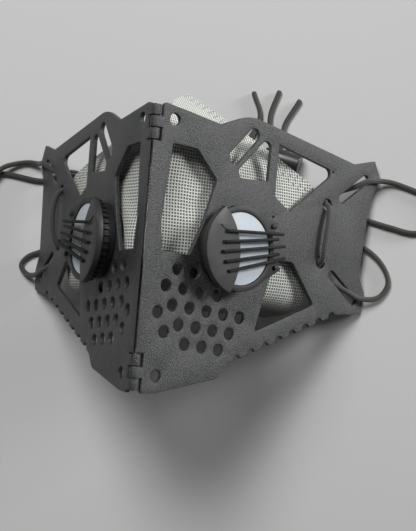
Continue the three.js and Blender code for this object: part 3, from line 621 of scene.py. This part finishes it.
def filter_material():
    """Nonwoven cloth: small pressed dots, coarser weld dots by the nose edge, loose fibres and
    painted shade on the chin panel.
    """
    s = Shading("filter_cloth", Specular_IOR_Level=0.25, Sheen_Weight=0.15, Sheen_Roughness=0.6)

    def dots(layer, pitch, edge, shift):
        """Square dots whose every second row is shifted, and the row that a point is in."""
        cell = {0: s.uv(layer), 1: (1 / pitch,) * 3}
        x, row = s.split(s.add("VectorMath", cell, operation="MULTIPLY").outputs[0])
        odd = s.math("MODULO", s.math("FLOOR", row), 2.0)
        x = s.math("FRACT", s.math("ADD", x, s.scaled(odd, shift)))
        y = s.math("FRACT", row)
        far = [s.math("ABSOLUTE", s.math("SUBTRACT", k, 0.5)) for k in (x, y)]
        return s.band(s.math("MAXIMUM", *far), *edge, 1.0, 0.0), row

    small, _ = dots("cloth", DOT_PITCH, DOT_EDGE, shift=0.0)
    across, along = s.split(s.uv("cloth"))
    # Painted shade: a mask over the chin panel, below the rows near the seam and along the lower
    # border
    low = s.band(along, *PAINTED_SHADE_ROWS, 1.0, 0.0)
    painted_shade = s.math("MULTIPLY", low, s.band(across, *PAINTED_SHADE_REACH, 1.0, 0.0))
    painted_shade = s.math("MAXIMUM", painted_shade, s.band(along, *PAINTED_SHADE_BORDER, 1.0, 0.0))
    large, row = dots("rim", WELD_PITCH, WELD_EDGE, shift=0.5)
    inside = s.math("MULTIPLY", s.band(row, *WELD_BEGIN), s.band(row, *WELD_END, 1.0, 0.0))
    large = s.math("MULTIPLY", large, inside)
    fibre, wide = s.noise(2600, 4), s.noise(120, 3)
    cloth = s.mix(s.band(fibre, *MOST), *CLOTH_TONES)
    for mark, strength, tone in (
        (wide, SHADE_STRENGTH, CLOTH_SHADE), (small, DOT_STRENGTH, DOT_TONE),
        (large, WELD_STRENGTH, WELD_TONE), (painted_shade, PAINTED_SHADE_STRENGTH, PAINTED_CHIN_SHADE),
    ):
        cloth = s.mix(s.scaled(mark, strength), cloth, tone)
    s.set("Base Color", cloth)
    s.set("Roughness", s.band(small, 0.0, 1.0, 0.95, 0.7))
    pressed = s.math("SUBTRACT", 1.0, s.math("MAXIMUM", small, large))
    s.set("Normal", s.bump(fibre, 0.00008, s.bump(pressed, 0.0003)))
    return s.material


def floor_material():
    s = Shading("pale_floor", Specular_IOR_Level=0.3)
    wide = s.noise(6, 3)
    s.set("Base Color", s.mix(wide, *FLOOR_TONES))
    s.set("Roughness", s.band(wide, *MOST, 0.6, 0.75))
    return s.material


PLATE = plate_material()
VALVE = valve_material("valve_body", level=0.018, roughness=0.5, gloss=0.47)
COVER = valve_material("valve_satin", level=0.037, roughness=0.46)
# The fins' plastic is darker and rougher than the cover's: its roughness is real, its darker grey
# is painted shade along the fins' sides
FIN_SHADED_MATT = valve_material("fin_shaded_matt", level=0.012, roughness=0.6, gloss=0.25)
MEMBRANE = membrane_material()
STEEL = steel_material()
CORD = cord_material()
LOCK_PLASTIC = lock_material()
CLOTH = filter_material()


# Camera and cords

def make_camera():
    data = bpy.data.cameras.new("camera")
    data.lens, data.sensor_width = CAMERA_LENS, SENSOR_WIDTH
    data.clip_start, data.clip_end = CAMERA_CLIP
    camera = bpy.data.objects.new("camera", data)
    back = -Vector(CAMERA_FORWARD)
    turn = Matrix((CAMERA_RIGHT, CAMERA_UP, back)).transposed()
    camera.matrix_world = Matrix.Translation(CAMERA_PLACE) @ turn.to_4x4()
    scene.collection.objects.link(camera)
    scene.camera = camera


def tube(bm, line, radius, sides):
    """A round cord along a line, with domed ends, and its turn and length as coordinates."""
    layer = bm.loops.layers.uv.new("sheath")
    heading = np.gradient(line, axis=0)
    heading /= np.linalg.norm(heading, axis=1)[:, None]
    length = running(np.linalg.norm(np.diff(line, axis=0), axis=1))
    across = Vector(heading[0]).orthogonal().normalized()
    rings, frames = [], []
    for point, ahead in zip(line, heading):
        ahead = Vector(ahead)
        across = (across - ahead * across.dot(ahead)).normalized()
        frames.append((Vector(point), ahead, across, ahead.cross(across)))

    def ring(spot, size, shift):
        point, ahead, a, b = spot
        angles = [2 * math.pi * k / sides for k in range(sides)]
        centre = point + ahead * shift
        return [bm.verts.new(centre + (a * math.cos(t) + b * math.sin(t)) * size) for t in angles]

    dome = [(math.cos(t), DOME_HEIGHT * radius * math.sin(t)) for t in DOME_ANGLES]
    for size, shift in dome[::-1]:
        rings.append((ring(frames[0], radius * size, -shift), length[0]))
    rings += [(ring(spot, radius, 0), at) for spot, at in zip(frames, length)]
    for size, shift in dome:
        rings.append((ring(frames[-1], radius * size, shift), length[-1]))
    for (low, low_at), (high, high_at) in zip(rings, rings[1:]):
        for i in range(sides):
            j = (i + 1) % sides
            face = bm.faces.new((low[i], low[j], high[j], high[i]))
            face.smooth = True
            spots = ((i, low_at), (i + 1, low_at), (i + 1, high_at), (i, high_at))
            for corner, (k, at) in zip(face.loops, spots):
                corner[layer].uv = (k / sides, at)
    bm.faces.new(rings[0][0][::-1])
    bm.faces.new(rings[-1][0])


def make_lock(name):
    at = LOCK_PLACES[name]
    profile = [
        (0, LOCK["button_low"]), (LOCK["button"], LOCK["button_low"]),
        (LOCK["button"], LOCK["low"]), (LOCK["radius"], LOCK["low"]),
        (LOCK["radius"], LOCK["high"]), (0, LOCK["high"]),
    ]
    profile = soft_profile(profile, **LOCK_ROUNDING)
    lock = solid(f"{name}_lock_barrel", lathe, profile, LOCK_SIDES)
    lock.data.transform(Matrix.Rotation(math.pi / 2, 4, "Y"))
    x, y, half = (LOCK_HOLE[k] / 2 for k in ("width", "height", "length"))
    corners = [(*p, LOCK_HOLE["corner"]) for p in ((-x, -y), (x, -y), (x, y), (-x, y))]
    hole = solid("lock_hole", slab, rounded(corners), -half, half, **FAINT_BEVEL)
    hole.data.transform(Matrix.Rotation(math.pi / 2, 4, "X"))
    combine(lock, [hole], "DIFFERENCE")
    spot = Matrix.Translation((at["x"], at["y"], LOCK["radius"]))
    spot = spot @ Matrix.Rotation(at["turn"], 4, "Z")
    return place(lock, Matrix.Scale(MM, 4) @ spot, LOCK_PLASTIC, "lock", f"{name}_cord_lock")


def make_cord(name):
    line = catmull(CORD_ROUTES[name], CORD_STEPS)
    cord = solid(f"{name}_ear_cord", tube, line, CORD_RADIUS, CORD_SIDES)
    place(cord, Matrix.Identity(4), CORD, "cord", f"{name}_cord", sharp=60)
    make_lock(name)


# Plates and hinges

def plate_outline():
    heading = math.atan2(NOTCH_STEP[1], NOTCH_STEP[0]) + math.pi
    scallops = []
    for i in range(NOTCH_COUNT):
        centre = [first + i * step for first, step in zip(NOTCH_FIRST, NOTCH_STEP)]
        notch = arc(centre, NOTCH_RADIUS, heading, heading + math.pi, NOTCH_FACETS)
        scallops += [(*p, 0) for p in notch]
    low, high = HINGE_CENTRES["lower"] + HALF_HINGE, HINGE_CENTRES["upper"] - HALF_HINGE
    ridge = [(POCKET_EDGE, low, 0), (0, low, 0), (0, high, 0), (POCKET_EDGE, high, 0)]
    return rounded([*NOSE_TO_CHEEK, *scallops, *CHIN_TO_HINGE, *ridge])


def plate_holes():
    centres = list(LONE_HOLES)
    grid = list(zip(HOLE_ORIGIN, HOLE_ROW, HOLE_COLUMN))
    for row, first, count in HOLE_ROWS:
        for k in range(first, first + count):
            centres.append([o + row * r + k * c for o, r, c in grid])
    holes = [circle(c, HOLE_RADIUS, HOLE_SIDES) for c in centres]
    holes += [circle(c, PIN_HOLE_RADIUS, PIN_HOLE_SIDES) for c in PIN_HOLES]
    holes += [rounded(w) for w in WINDOWS.values()] + [slot_outline(*s) for s in CORD_SLOTS]
    return holes + [circle(VALVE_CENTRE, NECK_RADIUS + GAP, NECK_HOLE_SIDES)]


def plate_sheet(bm):
    """The pierced sheet, whose edge along the ridge is mitred to the fold."""
    slab(bm, plate_outline(), -PLATE_THICKNESS, 0, plate_holes(), PLATE_BEVEL)
    for vert in bm.verts:
        if vert.co.x < RIDGE_BAND:
            vert.co.x += (RIDGE_GAP - vert.co.z * COS_FOLD) / SIN_FOLD


def along_hinge(obj, v):
    """Sets a turned piece on the hinge axis at this place along it."""
    spot = Matrix.Translation((HINGE_AXIS[0], v, HINGE_AXIS[1]))
    obj.data.transform(spot @ Matrix.Rotation(math.pi / 2, 4, "X"))
    return obj


def make_plate(name):
    half = KNUCKLE_LENGTH / 2
    knuckle = soft_profile(rod(KNUCKLE_RADIUS, -half, half), KNUCKLE_ROUNDING)
    bore = rod(PIN_RADIUS + GAP, -half - PIN_BORE_OVERRUN, half + PIN_BORE_OVERRUN)
    near, far = HINGE_AXIS[0], POCKET_EDGE + 2 * GAP
    plate = solid(f"{name}_mask_plate", plate_sheet)
    joined, cut = [], []
    for hinge in HINGE_CENTRES.values():
        for step in KNUCKLE_PLACES[name]:
            v = hinge + step * KNUCKLE_PITCH
            low, high = v - half, v + half
            tab = [Vector(p) for p in ((near, low), (far, low), (far, high), (near, high))]
            joined.append(along_hinge(solid("knuckle", lathe, knuckle, KNUCKLE_SIDES), v))
            joined.append(solid("tab", slab, tab, -PLATE_THICKNESS, 0, bevel=TAB_BEVEL))
            cut.append(along_hinge(solid("bore", lathe, bore, PIN_BORE_SIDES), v))
    combine(plate, joined)
    combine(plate, cut, "DIFFERENCE")
    place(plate, plate_matrix(SIDES[name]), PLATE, "plate", f"{name}_plate")


def make_pins():
    half = KNUCKLE_PITCH + KNUCKLE_LENGTH / 2 + PIN_OVERHANG
    profile = soft_profile(rod(PIN_RADIUS, -half, half), PIN_ROUNDING)
    for name, centre in HINGE_CENTRES.items():
        pin = along_hinge(solid(f"{name}_pin", lathe, profile, PIN_SIDES), centre)
        place(pin, plate_matrix(1), STEEL, "pin", f"hinge_pin_{name}")


# Valves

def rim_outline():
    """The rim with two horns that curve out on the open side."""
    outline = arc((0, 0), RIM_RADIUS, HORN_ROOT, 2 * math.pi - HORN_ROOT, RIM_STEPS)
    tip = Vector((HORN_REACH * math.cos(HORN_ANGLE), HORN_REACH * math.sin(HORN_ANGLE)))
    root = Vector((RIM_RADIUS * math.cos(HORN_ROOT), RIM_RADIUS * math.sin(HORN_ROOT)))
    pull = root + Vector((math.sin(HORN_ROOT), -math.cos(HORN_ROOT))) * HORN_PULL
    horn = [*bezier(root, pull, tip, HORN_STEPS), tip, tip + Vector(HORN_BLUNT)]
    mouth = arc((0, 0), RIM_RADIUS, -HORN_ANGLE / 2, HORN_ANGLE / 2, MOUTH_STEPS)
    return outline + [Vector((p.x, -p.y)) for p in horn] + mouth + horn[::-1]


def knurl_outline():
    points = []
    half = math.pi / KNURL["count"]
    for k in range(KNURL["count"]):
        middle = 2 * math.pi * (k + 0.5) / KNURL["count"]
        for share, radius in KNURL_TOOTH:
            a = middle + share * half
            points.append(Vector((KNURL[radius] * math.cos(a), KNURL[radius] * math.sin(a))))
    return points


def make_housing(name):
    end = -(FILTER_DEPTH + FILTER_WALL + CLAMP_THICKNESS + 2 * GAP)
    tower = [
        (AIRWAY_RADIUS, end), (NECK_RADIUS, end), (NECK_RADIUS, GAP), (TOWER_RADIUS, GAP),
        (TOWER_RADIUS, RIM_HEIGHT), (APERTURE_RADIUS, RIM_HEIGHT),
        (APERTURE_RADIUS, SEAT_HEIGHT), (AIRWAY_RADIUS, SEAT_HEIGHT),
    ]
    tower = soft_profile(tower, **TOWER_ROUNDING)
    housing = solid(f"{name}_valve_body", lathe, tower, VALVE_SIDES)
    hole = circle((0, 0), (NECK_RADIUS + TOWER_RADIUS) / 2, VALVE_SIDES)
    collar = solid("collar", slab, knurl_outline(), KNURL["low"], KNURL["high"], [hole],
                   **KNURL_BEVEL)
    aperture = circle((0, 0), APERTURE_RADIUS, VALVE_SIDES)
    rim = solid("rim", slab, rim_outline(), RIM_HEIGHT - RIM_THICKNESS, RIM_HEIGHT, [aperture],
                bevel=RIM_BEVEL)
    barbs = []
    for side in SIDES.values():
        outline = [Vector((p.x, side * p.y)) for p in rounded(BARB)]
        barbs.append(solid("barb", slab, outline, RIM_HEIGHT - BARB_SINK,
                           RIM_HEIGHT + BARB_HEIGHT, bevel=BARB_BEVEL))
    combine(housing, [collar, rim, *barbs])
    place(housing, valve_matrix(SIDES[name]), VALVE, "valve", f"{name}_valve_housing")


def make_clamp(name):
    high = -(FILTER_DEPTH + FILTER_WALL + GAP)
    low, bore = high - CLAMP_THICKNESS, NECK_RADIUS + GAP
    rows = [(bore, low), (CLAMP_RADIUS, low), (CLAMP_RADIUS, high), (bore, high)]
    clamp = solid(f"{name}_valve_ring", lathe, soft_profile(rows, CLAMP_ROUNDING), VALVE_SIDES)
    place(clamp, valve_matrix(SIDES[name]), VALVE, "valve", f"{name}_valve_clamp")


def make_membrane(name):
    low, radius = SEAT_HEIGHT + GAP, APERTURE_RADIUS - GAP
    high = low + MEMBRANE_THICKNESS
    rows = [(0, low), (radius, low), (radius, high)]
    rows += [(radius * s, high + MEMBRANE_CROWN * (1 - s * s)) for s in CROWN_RINGS]
    flap = solid(f"{name}_valve_flap", lathe, rows, VALVE_SIDES)
    place(flap, valve_matrix(SIDES[name]), MEMBRANE, "membrane", f"{name}_valve_membrane")


def crescent(outer_radius, inner_centre, inner_radius, steps):
    """Outline between an outer circle about the axis and an arc that bulges towards +x."""
    meet = (inner_centre**2 + outer_radius**2 - inner_radius**2) / (2 * inner_centre)
    outer_angle = math.acos(meet / outer_radius)
    inner_angle = math.atan2(math.sqrt(outer_radius**2 - meet**2), meet - inner_centre)
    outer = arc((0, 0), outer_radius, outer_angle, 2 * math.pi - outer_angle, steps)
    inner = arc((inner_centre, 0), inner_radius, -inner_angle, inner_angle, steps // 2)
    return outer, inner, outer_angle


def fin_outline(root, tip):
    """A straight fin that narrows to a blunt nose."""
    root, tip = Vector(root), Vector(tip)
    ahead = (tip - root).normalized()
    side = Vector((-ahead.y, ahead.x)) * (FIN["width"] / 2)
    nose = tip - ahead * FIN["width"] / 2
    blunt, reach = side * FIN_NOSE["share"], ahead * FIN_NOSE["reach"]
    return [
        root - side, nose - side, nose - blunt + reach,
        nose + blunt + reach, nose + side, root + side,
    ]


def on_fin(point, top):
    """Only the fins rise above the cover's top or reach past its inner edge."""
    return point.z > top + FIN_LIFT or (point.x > 0 and abs(point.y) < FIN_SPREAD)


def make_cover(name):
    low = RIM_HEIGHT + GAP
    high = low + COVER_THICKNESS
    centre = COVER_INNER_REACH - COVER_INNER_RADIUS
    outer, inner, angle = crescent(COVER_RADIUS, centre, COVER_INNER_RADIUS, COVER_STEPS)
    cover = solid(f"{name}_valve_cap", slab, outer + inner[1:-1], low, high, **COVER_BEVEL)
    wall = arc((0, 0), COVER_RADIUS - SKIRT_WALL, 2 * math.pi - angle, angle, COVER_STEPS)
    field = solid("field", slab, rounded(FIN_FIELD), high - FIELD_DEPTH, high + FIELD_OVERRUN,
                  **FAINT_BEVEL)
    combine(cover, [field], "DIFFERENCE")
    extra = [solid("skirt", slab, outer + wall, low - SKIRT_DEPTH, high - SKIRT_SINK,
                   bevel=SKIRT_BEVEL)]
    for root, tip in FINS:
        extra.append(solid("fin", slab, fin_outline(root, tip), high - FIN["base"],
                           high + FIN["top"], **FIN_BEVEL))
    combine(cover, extra)
    fins = [face.index for face in cover.data.polygons if on_fin(face.center, high)]
    place(cover, valve_matrix(SIDES[name]), COVER, "valve_cover", f"{name}_valve_cover")
    # The fins get the darker plastic, whose dark grey is painted shade
    cover.data.materials.append(FIN_SHADED_MATT)
    for index in fins:
        cover.data.polygons[index].material_index = 1


# Filter

def filter_cup(bm):
    """Both halves of the cup, with the cloth's flat coordinates and its way from the nose edge."""
    along, across = FILTER_STEPS
    per = along // (len(FILTER_SECTIONS) - 1) + 1
    seam = catmull([(d * COS_FOLD, v, d * SIN_FOLD) for v, d, *_ in FILTER_SECTIONS], per)
    edge = catmull([row[2:5] for row in FILTER_SECTIONS], per)
    eases = [row[5] for row in FILTER_SECTIONS]
    ease = np.interp(np.arange(len(edge)) / per, range(len(eases)), eases)
    x = np.arange(-across, across + 1) / across
    span = np.abs(x)[None, :]

    u = seam[:, :1] * (1 - span) + edge[:, :1] * span
    v = seam[:, 1:2] * (1 - span) + edge[:, 1:2] * span
    far = np.hypot(u - VALVE_CENTRE[0], v - VALVE_CENTRE[1])
    t = np.clip((far - FILTER_FLAT[0]) / (FILTER_FLAT[1] - FILTER_FLAT[0]), 0, 1)
    free = np.where(span == 0, 1, t * t * (3 - 2 * t))
    turned = edge[:, 2:] + (seam[:, 2:] - edge[:, 2:]) * (1 - span) ** ease[:, None]
    depth = FILTER_DEPTH + free * (turned - FILTER_DEPTH)
    sideways = np.sign(x) * (u * SIN_FOLD - depth * COS_FOLD)
    front = np.stack([sideways, v, -(u * COS_FOLD + depth * SIN_FOLD)], -1)
    normal = np.cross(np.gradient(front, axis=1), np.gradient(front, axis=0))
    normal /= np.linalg.norm(normal, axis=2)[..., None]
    back = front - normal * np.where(span == 0, FILTER_WALL / SIN_FOLD, FILTER_WALL)[..., None]
    step = np.hypot(np.diff(u, axis=1), np.diff(depth, axis=1))
    right = running(step[:, across:], axis=1)
    right = right - right[:, -1:] + edge[:, :1]
    flat_u = np.concatenate([right[:, :0:-1], right], axis=1)
    flat_v = running(np.hypot(np.diff(v, axis=0), np.diff(depth, axis=0)))
    flat_v += (v - flat_v)[CLOTH_START * per]
    from_chin = running(np.linalg.norm(np.diff(front, axis=0), axis=2))
    from_nose = from_chin[-1:] - from_chin

    layers = [bm.loops.layers.uv.new(n) for n in ("cloth", "rim")]
    marks = [np.stack([flat_u, flat_v], -1) * MM, np.stack([flat_u, from_nose], -1) * MM]
    end, last = u.shape[0] - 1, u.shape[1] - 1
    grids = [[[bm.verts.new(p) for p in line] for line in g] for g in (front, back)]

    def face(spots, flip=False):
        spots = spots[::-1] if flip else spots
        made = bm.faces.new([grids[g][i][j] for g, i, j in spots])
        made.smooth = True
        for corner, (_, i, j) in zip(made.loops, spots):
            for uv, mark in zip(layers, marks):
                corner[uv].uv = mark[i, j]

    for i in range(end):
        for j in range(last):
            for g in (0, 1):
                face([(g, i, j), (g, i, j + 1), (g, i + 1, j + 1), (g, i + 1, j)], g == 1)
        face([(0, i, 0), (0, i + 1, 0), (1, i + 1, 0), (1, i, 0)])
        face([(0, i, last), (1, i, last), (1, i + 1, last), (0, i + 1, last)])
    for j in range(last):
        face([(0, 0, j), (1, 0, j), (1, 0, j + 1), (0, 0, j + 1)])
        face([(0, end, j), (0, end, j + 1), (1, end, j + 1), (1, end, j)])


def make_filter():
    cup = solid("filter_cup", filter_cup)
    bores = []
    for side in SIDES.values():
        bore = solid("bore", lathe, rod(NECK_RADIUS + GAP, *FILTER_BORE), VALVE_SIDES)
        centre = Matrix.Translation((*VALVE_CENTRE, -FILTER_DEPTH))
        bore.data.transform(rest_matrix().inverted() @ plate_matrix(side) @ centre)
        if side < 0:
            bore.data.flip_normals()
        bores.append(bore)
    combine(cup, bores, "DIFFERENCE")
    place(cup, rest_matrix(), CLOTH, "filter", "filter_insert", sharp=50)


# Floor and light

FLOOR_CELLS, FLOOR_REACH = 8, 3


def make_floor():
    bm = bmesh.new()
    bmesh.ops.create_grid(bm, x_segments=FLOOR_CELLS, y_segments=FLOOR_CELLS, size=FLOOR_REACH)
    mesh = bpy.data.meshes.new("floor")
    bm.to_mesh(mesh)
    bm.free()
    floor = bpy.data.objects.new("floor", mesh)
    floor.data.materials.append(floor_material())
    scene.collection.objects.link(floor)


# Lights as (name, place, size, power), and the point in the mask that they aim at
LIGHTS = [
    ("key", (1.7, 0.8, 0.34), 0.612, 26.6),
    ("top", (-0.16, 0.62, 1.05), 0.6, 9.9),
]
LIGHT_AIM = (0, 0, 0.05)
WORLD_STRENGTH = 0.045


def make_lights():
    for name, spot, size, power in LIGHTS:
        data = bpy.data.lights.new(name, "AREA")
        data.size, data.energy = size, power
        light = bpy.data.objects.new(name, data)
        aim = (Vector(LIGHT_AIM) - Vector(spot)).to_track_quat("-Z", "Y")
        light.matrix_world = Matrix.Translation(spot) @ aim.to_matrix().to_4x4()
        scene.collection.objects.link(light)
    world = bpy.data.worlds.new("studio")
    world.use_nodes = True
    background = world.node_tree.nodes["Background"]
    background.inputs["Color"].default_value = grey(1)
    background.inputs["Strength"].default_value = WORLD_STRENGTH
    scene.world = world
    scene.view_settings.view_transform = "Standard"


make_camera()
for side_name in SIDES:
    make_cord(side_name)
for side_name in SIDES:
    make_plate(side_name)
    make_housing(side_name)
    make_clamp(side_name)
    make_membrane(side_name)
    make_cover(side_name)
make_pins()
make_filter()
make_floor()
make_lights()
